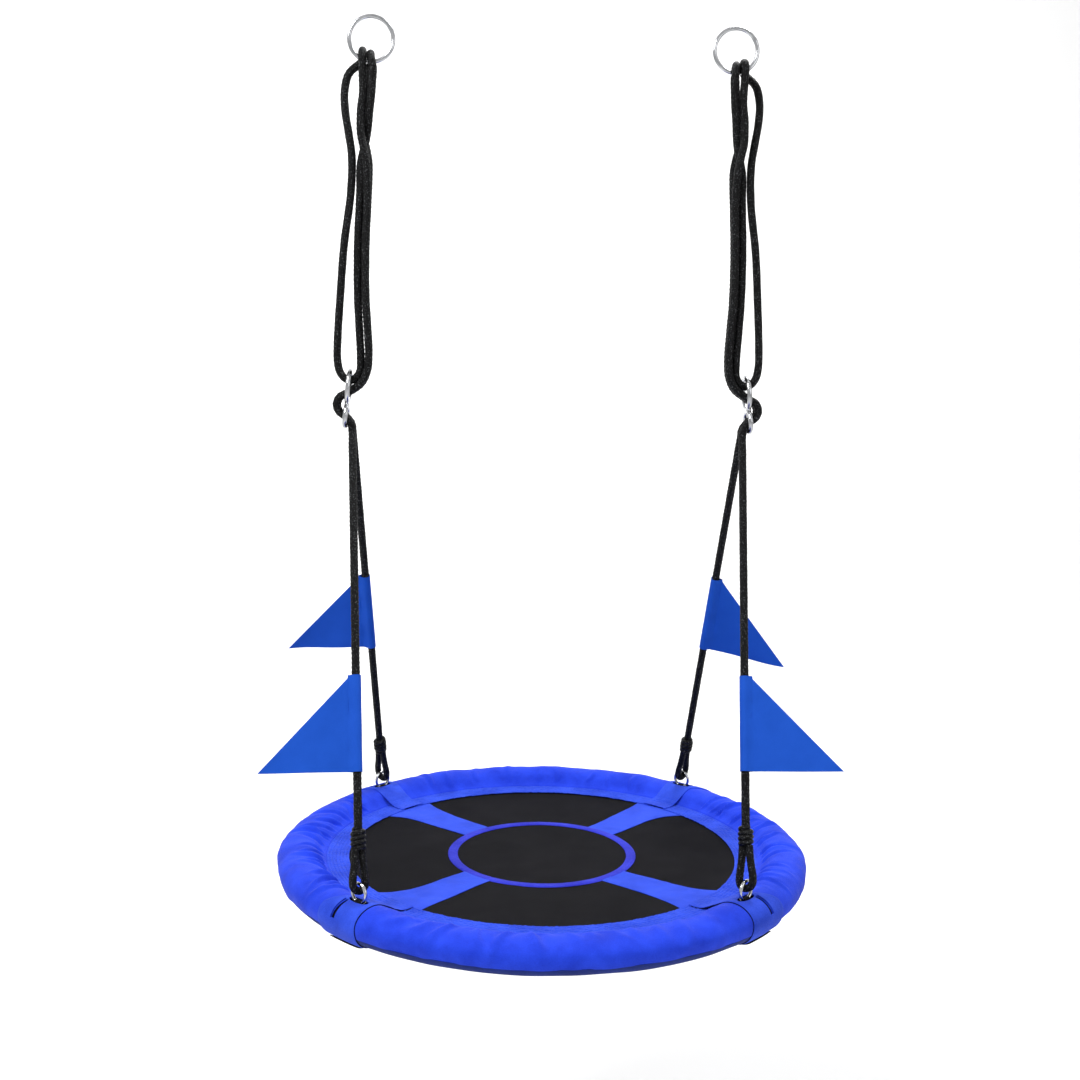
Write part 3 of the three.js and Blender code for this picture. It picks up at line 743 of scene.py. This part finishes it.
def folds(name, run, along):
    """Creases across the cover where it is drawn round the frame: a sharp crest between two hollows."""
    number, first, last, height, narrow, wide, slant = FOLD_STYLE[name]
    dice = random.Random(f"{name} cover")
    total = np.zeros(np.broadcast(run, along).shape)
    for index in range(number):
        place = -0.30 + 0.60 * (index + dice.uniform(0.15, 0.85)) / number
        lean = dice.uniform(-slant, slant)
        start = first + dice.uniform(-0.004, 0.012)
        end = last - dice.uniform(0, 0.055)
        width = dice.uniform(narrow, wide)
        size = height * dice.uniform(0.45, 1.1)
        share = (run - start) / (end - start)
        line = place + lean * share + 0.004 * np.sin(share * 5 + index)
        offset = (along - line) / (width * (1 + 0.8 * share))
        window = ease((run - start) / 0.012 + 0.4) * (1 - ease((share - 0.45) / 0.55))
        hollows = 0.55 * bell((offset - 2.1) / 1.5) + 0.25 * bell((offset + 2.4) / 1.6)
        total += size * window * (bell(offset) - hollows)
    return total


def quarter_span(name):
    middle = math.radians(QUARTERS[name])
    half = math.pi / 4 - CORNER_GAP / RIM_RADIUS
    return middle, half


# grid steps along each cover
COVER_STEPS = {"front": 270, "right": 400, "rear": 240, "left": 400}


def rim_cover(name):
    """A quarter's blue top panel, from the stitched border over the foam to the lower seam."""
    middle, half = quarter_span(name)
    section = rim_section(LOWER_SEAM)
    length = section[0][-1]
    stations = np.concatenate([np.arange(0, 0.046, 0.0013), np.linspace(0.046, length, 52)])
    angles = np.linspace(middle - half, middle + half, COVER_STEPS[name])
    out, high, normal_out, normal_up = section_at(section, stations)
    along = ((angles - middle) * RIM_RADIUS)[:, None]
    run = stations[None, :]
    from_end = half * RIM_RADIUS - np.abs(along)
    padded = ease((run - BORDER_SEAM) / 0.02) * ease((from_end - 0.035) / 0.05)
    world = on_rim(angles[:, None], out[None, :], high[None, :])
    lumps = 0.0030 * bump_noise(*world.transpose(2, 0, 1), 0.075)
    lumps += 0.0012 * bump_noise(*world.transpose(2, 0, 1), 0.028)
    push = border_relief(run, along) + padded * (folds(name, run, along) + lumps)
    high = high * (1 + (MIDDLE_CROWN[name] / COVER_CROWN - 1) * padded * (high > 0))
    points = on_rim(angles[:, None], out + normal_out * push, high + normal_up * push)
    places = (angles * RIM_RADIUS, np.append(stations, 0))
    piece = grid_piece(f"{name}_cover", points, "cover", places)
    piece.data.materials.append(MATERIALS["strap"])
    on_border = np.tile(stations[1:] < BORDER_SEAM, len(angles) - 1)
    piece.data.polygons.foreach_set("material_index", on_border.astype(np.int32))
    piece.data.flip_normals()
    thicken(piece, 0.0012)
    fix(piece, "saucer", "rim_cover", f"{name}_rim_cover")


def arc_band(name, angles, first, last, radius, material, count=40, sag=0.0):
    """A band of cloth round the tube between two angles of its section, in degrees."""
    turn = np.linspace(math.radians(first), math.radians(last), count)
    world = on_rim(angles[:, None], radius * np.cos(turn)[None, :], radius * np.sin(turn)[None, :])
    size = radius + sag * bump_noise(*world.transpose(2, 0, 1), 0.06)
    points = on_rim(angles[:, None], size * np.cos(turn), pressed(size * np.sin(turn)))
    piece = grid_piece(name, points, material, (angles * RIM_RADIUS, np.append(turn * radius, 0)))
    piece.data.flip_normals()
    return piece


def underside(name):
    """A quarter's lower panel, from the lower seam back under the deck; its dark blue is painted shade of the
    rim's underside.
    """
    middle, half = quarter_span(name)
    angles = np.linspace(middle - half, middle + half, 120)
    piece = arc_band(f"{name}_underside", angles, LOWER_SEAM + UNDER_LAP, -166, COVER_RADIUS - 0.0007,
                     "under", 44, 0.0010)
    thicken(piece, 0.0011)
    fix(piece, "saucer", "rim_cover")


def seam_piping(name):
    """The rolled edge where a quarter's two panels are sewn together."""
    middle, half = quarter_span(name)
    angles = np.linspace(middle - half, middle + half, 220)
    radius, seam = COVER_RADIUS + 0.0004, math.radians(LOWER_SEAM)
    line = on_rim(angles, radius * math.cos(seam), radius * math.sin(seam))
    # the piping uses the underside cloth and its painted shade
    piece = tube(f"{name}_seam_piping", line, 0.0011, "under", 8)
    fix(piece, "saucer", "rim_cover")


def foam_sleeve(name):
    """A quarter's foam, split along its inner side where it was pushed over the tube."""
    middle, half = quarter_span(name)
    angles = np.linspace(middle - half, middle + half, 100)
    turn = np.linspace(math.radians(-176), math.radians(176), 48)
    ring = circle(FOAM["outer"], turn) + circle(FOAM["inner"], turn[::-1])
    out, up = (np.array(v) for v in zip(*ring))
    world = on_rim(angles[:, None], out[None, :], up[None, :])
    up = np.where((up > 0) & (np.hypot(out, up) > 0.03), up * FOAM["pressed"], up)
    lumps = 1 + bump_noise(*world.transpose(2, 0, 1), 0.05)
    shrink = 1 - 0.02 * lumps * (np.hypot(out, up) > 0.0185)
    points = on_rim(angles[:, None], out * shrink, up * shrink)
    around = np.arange(len(ring) + 1) * 0.0045
    piece = grid_piece(f"{name}_foam_sleeve", points, "foam", (angles * RIM_RADIUS, around),
                       wrap=True, caps=True)
    piece.data.flip_normals()
    piece.data.set_sharp_from_angle(angle=math.radians(50))
    fix(piece, "saucer", "foam", f"{name}_foam")


for quarter in QUARTERS:
    rim_cover(quarter)
    underside(quarter)
    seam_piping(quarter)
    foam_sleeve(quarter)


def strap_edges(run):
    """A corner strap's reach to the side, wider outside, and to the end, which meets the spoke's edge."""
    on_top, outside = STRAP_SIDE
    to_side = on_top + (outside - on_top) * ease((run - 0.090) / 0.045)
    return to_side, STRAP_END + 0.010 * ease((0.050 - run) / 0.040)


def cutter(name, rows):
    """A closed piece between two outlines of points."""
    points = np.array([[tuple(p) for p in row] for row in rows])
    return grid_piece(name, points, "edge", wrap=True, caps=True)


def ring_opening(name, corner):
    """Cutters for a strap's slit: a lens round the lower ring and a narrow split down its outer side."""
    leg = Leg(corner)
    turn = np.linspace(0, 2 * math.pi, 40, endpoint=False)
    lens = [(math.copysign(0.0225 * abs(math.cos(t)) ** 0.8, math.cos(t)), 0.0085 * math.sin(t))
            for t in turn]
    lens_rows = [[leg.beside_tube(u, v, z) for u, v in lens] for z in (0.025, 0.075)]
    split = [(0.006, 0.030), (0.030, 0.009), (0.060, 0.001), (0.060, 0.070), (0.006, 0.070)]
    places = [-0.021 * towards_end(corner) + half_width for half_width in (-0.0050, 0.0050)]
    split_rows = [[leg.beside_tube(u, v, z) for v, z in split] for u in places]
    return [cutter(f"{name}_lens", lens_rows), cutter(f"{name}_split", split_rows)]


def corner_strap(corner_name, corner):
    """The blue strap over the rim at a corner, slit for its ring, with a dark strip of painted shade along
    its edge towards the end.
    """
    angle = corner_angle(corner)
    to_end = towards_end(corner)
    section = rim_section(-150, STRAP_FLAT, 126)
    stations = np.concatenate([np.arange(0.0012, 0.046, 0.0014), np.linspace(0.046, section[0][-1], 90)])
    share = np.linspace(0, 1, 84)[:, None]
    reach_side, reach_end = strap_edges(stations)
    along = (share * (reach_side + reach_end) - reach_side)[::to_end] * to_end
    out, high, normal_out, normal_up = section_at(section, stations)
    edge = np.minimum(share, 1 - share)
    lift = STRAP_LIFT + 0.0007 * bump_noise(along, stations[None, :], 7.0, 0.03)
    push = lift + 0.4 * border_relief(stations[None, :], along + angle) - 0.0006 * bell(edge / 0.03)
    angles = angle + along / RIM_RADIUS
    points = on_rim(angles, out + normal_out * push, high + normal_up * push)
    strap = grid_piece(f"{corner_name}_strap", points, "strap",
                       (np.arange(84) * 0.001, np.append(stations, 0)))
    strap.data.flip_normals()
    thicken(strap, 0.0014)
    cut(strap, ring_opening(corner_name, corner))
    fix(strap, "saucer", "border", f"{corner_name}_corner_strap")
    # the end edge gets a dark tube of painted shade for the gap beside it; the side edge stays blue
    for label, row, inner, edge_material in (("side", 0, 52, "strap"), ("end", -1, 4, "edge")):
        line = points[::to_end][row]
        edging = tube(f"{corner_name}_strap_{label}_edge", smooth_route(line[inner:], 0.003), 0.0010,
                      edge_material, 8)
        fix(edging, "saucer", "border")


def strap_tab(corner_name, corner):
    """The black fastening band that closes a corner strap under the rim."""
    to_end = towards_end(corner)
    reach = np.linspace(-0.046, 0.020, 30) * to_end
    angles = corner_angle(corner) + np.sort(reach) / RIM_RADIUS
    tab = arc_band(f"{corner_name}_strap_tab", angles, -56, -148, COVER_RADIUS + 0.0046,
                   "webbing", 30, 0.0004)
    thicken(tab, 0.0018)
    fix(tab, "saucer", "webbing")


def corner_liner(corner_name, corner):
    """The black band round the rim inside a corner strap, seen through the strap's slit."""
    angles = corner_angle(corner) + np.linspace(-0.0215, 0.0215, 16) / RIM_RADIUS
    liner = arc_band(f"{corner_name}_liner", angles, 60, -140, COVER_RADIUS - 0.0030, "webbing")
    thicken(liner, 0.0015)
    fix(liner, "saucer", "webbing")


def ring_webbing(corner_name, corner):
    """The woven loop that ties a lower ring to the frame tube."""
    leg = Leg(corner)
    inner, crown, crown_z = 0.0153, 0.0041, 0.0272
    lean = math.acos((inner - crown) / crown_z)
    round_tube = np.linspace(math.pi / 2 + lean, 2.5 * math.pi - lean, 40)
    round_ring = np.linspace(math.pi / 2 - lean, math.pi / 2 + lean, 14)
    outline = circle(inner, round_tube) + circle(crown, round_ring, crown_z)
    points = np.array([[tuple(leg.beside_tube(u, v, z)) for v, z in outline]
                       for u in np.linspace(-0.007, 0.007, 12)])
    around = np.arange(len(outline) + 1) * 0.0025
    loop = grid_piece(f"{corner_name}_webbing_loop", points, "webbing",
                      (np.linspace(0, 0.014, 12), around), wrap=True)
    thicken(loop, 0.0019, offset=1)
    fix(loop, "saucer", "webbing", f"{corner_name}_ring_webbing")


for corner_name, corner in CORNERS.items():
    corner_strap(corner_name, corner)
    strap_tab(corner_name, corner)
    corner_liner(corner_name, corner)
    ring_webbing(corner_name, corner)


# ---------- deck, centre band and spokes ----------
def deck_height(radius):
    return SEAT_TOP - SEAT_SAG * (1 - (radius / SEAT_EDGE) ** 2)


def polar_piece(name, radii, angles, height, material):
    """A flat ring of cloth. height(x, y, radius) gives its height above the frame plane."""
    radius, angle = np.meshgrid(radii, angles, indexing="ij")
    x, y = radius * np.cos(angle), radius * np.sin(angle)
    points = np.stack([x, y, PLANE + height(x, y, radius)], -1)
    around = np.append(angles, 2 * angles[-1] - angles[-2]) * float(np.mean(radii))
    return grid_piece(name, points, material, (radii, around), wrap=True)


def deck():
    def height(x, y, radius):
        slack = 0.0011 * bump_noise(x, y, 0.0, 0.11) + 0.0004 * bump_noise(x, y, 5.0, 0.035)
        return deck_height(radius) + slack * (1 - ease((radius - 0.34) / 0.05)) * ease(radius / 0.02)

    radii = np.concatenate([[0.0004], np.linspace(0.008, SEAT_RADIUS, 72)])
    angles = np.linspace(0, 2 * math.pi, 200, endpoint=False)
    piece = polar_piece("deck", radii, angles, height, "deck")
    x, y = (np.array([v.co[axis] for v in piece.data.vertices]) for axis in (0, 1))
    loops = np.zeros(len(piece.data.loops), np.int32)
    piece.data.loops.foreach_get("vertex_index", loops)
    piece.data.uv_layers[0].data.foreach_set("uv", np.stack([x, y], 1)[loops].astype(np.float32).ravel())
    thicken(piece, 0.0016)
    fix(piece, "saucer", "seat", "seat_panel")


def centre_band():
    inner, outer = CENTRE_BAND
    middle, half = (inner + outer) / 2, (outer - inner) / 2

    def height(x, y, radius):
        share = (radius - middle) / half
        crown = 0.0016 * np.sqrt(np.clip(1.02 - share ** 6, 0, 1))
        rows = -0.0004 * bell((np.abs(share) - 0.68) / 0.1)
        return deck_height(radius) + 0.0008 + crown + rows + 0.0003 * bump_noise(x, y, 0.0, 0.007)

    angles = np.linspace(0, 2 * math.pi, 420, endpoint=False)
    piece = polar_piece("centre_band", np.linspace(inner, outer, 14), angles, height, "centre")
    thicken(piece, 0.0013)
    fix(piece, "saucer", "centre_band", "centre_ring")


def spoke_edges(radius, to_end):
    """Half widths of a spoke towards its side sector and its end sector; it flares into the border."""
    share = np.clip((radius - CENTRE_BAND[1]) / (BORDER_INNER - CENTRE_BAND[1]), 0, 1)
    base = (SPOKE_WIDTH[0] + (SPOKE_WIDTH[1] - SPOKE_WIDTH[0]) * share) / 2
    wave = 0.0022 * np.sin(share * 5.5 + to_end)
    return base + wave + 0.034 * share ** 6, base - wave + 0.010 * share ** 7


def beside(radii, across, angle):
    """x and y at distances along a spoke and across it."""
    cos, sin = math.cos(angle), math.sin(angle)
    return radii * cos - across * sin, radii * sin + across * cos


def spoke(corner_name, corner):
    """A band from the centre band to the border, puckered along its edges."""
    angle = corner_angle(corner)
    to_end = towards_end(corner)
    radii = np.linspace(CENTRE_BAND[1] - 0.003, BORDER_INNER + 0.004, 74)
    share = np.linspace(0, 1, 26)[None, :]
    to_side, to_front = spoke_edges(radii, to_end)
    across = ((share * (to_side + to_front)[:, None] - to_side[:, None]) * to_end)[:, ::to_end]
    x, y = beside(radii[:, None], across, angle)
    edge = np.minimum(share, 1 - share)
    puckers = 0.0005 * bump_noise(x, y, 2.0, 0.02) - 0.0005 * bell(edge / 0.03)
    high = deck_height(np.hypot(x, y)) + 0.0019 + puckers
    points = np.stack([x, y, PLANE + high], -1)
    places = (radii, np.arange(27) * 0.003)
    piece = grid_piece(f"{corner_name}_spoke_band", points, "spoke", places)
    thicken(piece, 0.0012)
    fix(piece, "saucer", "border", f"{corner_name}_spoke")


deck()
centre_band()
for corner_name, corner in CORNERS.items():
    spoke(corner_name, corner)


# ---------- sewing ----------
def stitches(name, rows, material, slot):
    """Raised stitches along rows, each an array of points on the cloth with the cloth's normal at each."""
    length, pitch, radius = STITCH["length"], STITCH["pitch"], STITCH["radius"]
    ends = []
    for line, normal in rows:
        run = reach_along(line)
        middle = np.arange(pitch / 2, run[-1] - pitch / 2, pitch)
        place = [np.stack([np.interp(at, run, line[:, a]) for a in range(3)], 1)
                 for at in (middle - length / 2, middle + length / 2)]
        up = np.stack([np.interp(middle, run, normal[:, a]) for a in range(3)], 1)
        ends.append((*place, up / np.linalg.norm(up, axis=1)[:, None]))
    start, stop, up = (np.concatenate(v) for v in zip(*ends))
    ahead = (stop - start) / np.linalg.norm(stop - start, axis=1)[:, None]
    side = np.cross(ahead, up)
    rings = [start - up * radius * 0.6]
    for at, size in ((0.25, 0.85), (0.5, 1.0), (0.75, 0.85)):
        base = start + (stop - start) * at
        rings += [base + side * radius * size, base + up * radius * size,
                  base - side * radius * size, base - up * radius * size]
    rings.append(stop - up * radius * 0.6)
    block = np.stack(rings, 1)
    count, each = block.shape[:2]
    local = [(0, 1 + k, 1 + (k + 1) % 4) for k in range(4)]
    for near in (1, 5):
        local += [(near + k, near + 4 + k, near + 4 + (k + 1) % 4, near + (k + 1) % 4) for k in range(4)]
    local += [(13, 9 + (k + 1) % 4, 9 + k) for k in range(4)]
    faces = [tuple(n + each * i for n in face) for i in range(count) for face in local]
    mesh = bpy.data.meshes.new(name)
    mesh.from_pydata(block.reshape(-1, 3).tolist(), [], faces)
    mesh.shade_smooth()
    fix(link(name, mesh, material), "saucer", slot)


def rim_row(run_at, first, last, extra, section, count=160):
    """A row that follows the rim at one distance across the border or cover."""
    angles = np.linspace(first, last, count)
    out, high, normal_out, normal_up = (float(v[0]) for v in section_at(section, np.array([run_at])))
    line = on_rim(angles, out + normal_out * extra, high + normal_up * extra)
    upward = np.full(count, normal_up)
    return line, np.stack([normal_out * np.cos(angles), normal_out * np.sin(angles), upward], 1)


def border_sewing():
    section = rim_section(LOWER_SEAM)
    rows = []
    for name in QUARTERS:
        middle = math.radians(QUARTERS[name])
        sideways = name in ("left", "right")
        for row in [*BORDER_ROWS, BORDER_SEAM + 0.0025]:
            reach = float(strap_edges(row)[0 if sideways else 1])
            stop = math.pi / 4 - (reach + 0.002) / RIM_RADIUS
            rows.append(rim_row(row, middle - stop, middle + stop, -0.0002, section))
    for corner in CORNERS.values():
        to_end = towards_end(corner)
        for row in BORDER_ROWS:
            reach_side, reach_end = (float(v) for v in strap_edges(row))
            ends = sorted((-(reach_side - 0.003) * to_end, (reach_end - 0.003) * to_end))
            first, last = (corner_angle(corner) + e / RIM_RADIUS for e in ends)
            rows.append(rim_row(row, first, last, STRAP_LIFT - 0.0001, section, 40))
    stitches("border_stitching", rows, "dark_thread", "border")


def seam_sewing():
    section = rim_section(LOWER_SEAM)
    rows = []
    for name in QUARTERS:
        middle, half = quarter_span(name)
        stop = half - 0.03
        rows.append(rim_row(section[0][-1] - 0.0035, middle - stop, middle + stop, 0.0002, section, 200))
    stitches("lower_seam_stitching", rows, "dark_thread", "rim_cover")


def band_sewing():
    rows = []
    up = np.array([[0, 0, 1.0]])
    turn = np.linspace(0, 2 * math.pi, 260)
    for radius in (CENTRE_BAND[0] + 0.003, CENTRE_BAND[1] - 0.003):
        high = PLANE + deck_height(radius) + 0.0022
        line = np.stack([radius * np.cos(turn), radius * np.sin(turn), np.full(len(turn), high)], 1)
        rows.append((line, np.repeat(up, len(turn), 0)))
    stitches("centre_stitching", rows, "dark_thread", "centre_band")
    rows = []
    for corner in CORNERS.values():
        angle, to_end = corner_angle(corner), towards_end(corner)
        radii = np.linspace(CENTRE_BAND[1] + 0.004, BORDER_INNER - 0.006, 60)
        to_side, to_front = spoke_edges(radii, to_end)
        for across in (-(to_side - 0.004) * to_end, (to_front - 0.004) * to_end):
            x, y = beside(radii, across, angle)
            line = np.stack([x, y, PLANE + deck_height(np.hypot(x, y)) + 0.0017], 1)
            rows.append((line, np.repeat(up, len(radii), 0)))
    stitches("spoke_stitching", rows, "thread", "border")


border_sewing()
seam_sewing()
band_sewing()


# ---------- flags ----------
def flag(corner_name, corner):
    """A pennant: one cloth folded round the rope into a sleeve, its two layers sewn beside it."""
    leg = Leg(corner)
    sx = corner[0]
    base = leg.at(FLAG_PLACE[end_of(corner_name)] - FLAG_HEIGHT / 2)
    reach = (Vector((sx, 0, 0)) - leg.up * sx * leg.up.x).normalized()
    reach.rotate(Matrix.Rotation(math.radians(-FLAG_TURN[corner_name] * sx), 3, leg.up))
    normal = leg.up.cross(reach)
    phase = random.Random(f"{corner_name} flag").uniform(0, 6)
    high = np.linspace(0, FLAG_HEIGHT, 60)[:, None]
    neck, loop = 0.0135, 0.0088
    tip = neck + (FLAG_REACH - neck) * np.clip(1 - high / (FLAG_HEIGHT - 0.004), 0.004, 1)
    run = np.linspace(1, 0, 46)[None, :]
    out = neck + (tip - neck) * run
    turn = np.linspace(math.radians(40), math.radians(320), 27)[None, 1:-1]
    arc_x, arc_y = loop * np.cos(turn) + 0 * high, loop * np.sin(turn) + 0 * high
    x = np.concatenate([out, arc_x, out[:, ::-1]], 1)
    layer = 0.0009 + 0.0008 * ease((neck + 0.012 - out) / 0.012)
    y = np.concatenate([layer, arc_y, -layer[:, ::-1]], 1)
    far = np.clip((x - neck) / (FLAG_REACH - neck), 0, 1)
    y += 0.0042 * far * np.sin(far * 4.2 + high * 14 + phase) + 0.0014 * far * np.sin(high * 60 + far * 6)
    y += 0.0006 * np.sin(high * 90 + phase) * (far <= 0)
    points = (np.array(base) + x[..., None] * np.array(reach) + y[..., None] * np.array(normal)
              + high[..., None] * np.array(leg.up))
    width = 2 * (FLAG_REACH - neck) + 2 * math.pi * loop
    columns = np.linspace(0, width, points.shape[1] + 1)
    piece = grid_piece(f"{corner_name}_pennant", points, "flag", (high[:, 0], columns))
    thicken(piece, 0.0007, offset=0)
    fix(piece, f"flag_{corner_name}", "flag", f"{corner_name}_flag")


for corner_name, corner in CORNERS.items():
    flag(corner_name, corner)


# ---------- stage and light ----------
def sweep():
    """A pale floor that curves up into a plain backdrop."""
    floor_z, back, rise = -2.5, 3.2, 2.0
    turn = np.linspace(0, math.pi / 2, 24)
    curve = [(back + rise * math.sin(t), floor_z + rise * (1 - math.cos(t))) for t in turn]
    line = [(-9.0, floor_z), *curve, (back + rise, 9.0)]
    points = np.array([[(x, y, z) for x in (-14, 14)] for y, z in line])
    piece = grid_piece("floor", points, "floor")
    piece.data.flip_normals()


def area_light(name, place, aim, size, power):
    data = bpy.data.lights.new(name, "AREA")
    data.shape = "DISK"
    data.size = size
    data.energy = power
    light = bpy.data.objects.new(name, data)
    light.location = place
    light.rotation_euler = (Vector(aim) - Vector(place)).to_track_quat("-Z", "Y").to_euler()
    bpy.context.scene.collection.objects.link(light)


sweep()
world = bpy.data.worlds.new("studio")
world.use_nodes = True
world.node_tree.nodes["Background"].inputs["Color"].default_value = (1, 1, 1, 1)
world.node_tree.nodes["Background"].inputs["Strength"].default_value = 0.62
bpy.context.scene.world = world
bpy.context.scene.view_settings.view_transform = "Standard"
area_light("key", (-1.9, -1.6, 1.3), (0, 0, -1.5), 1.2, 78)
area_light("fill", (2.4, -2.2, 0.2), (0, 0, -1.3), 2.0, 14)
area_light("backdrop", (0, 1.4, 0.4), (0, 5.2, 0.3), 3.0, 150)
area_light("top", (0.9, 0.9, 1.6), (0, 0, -1.5), 1.2, 62)
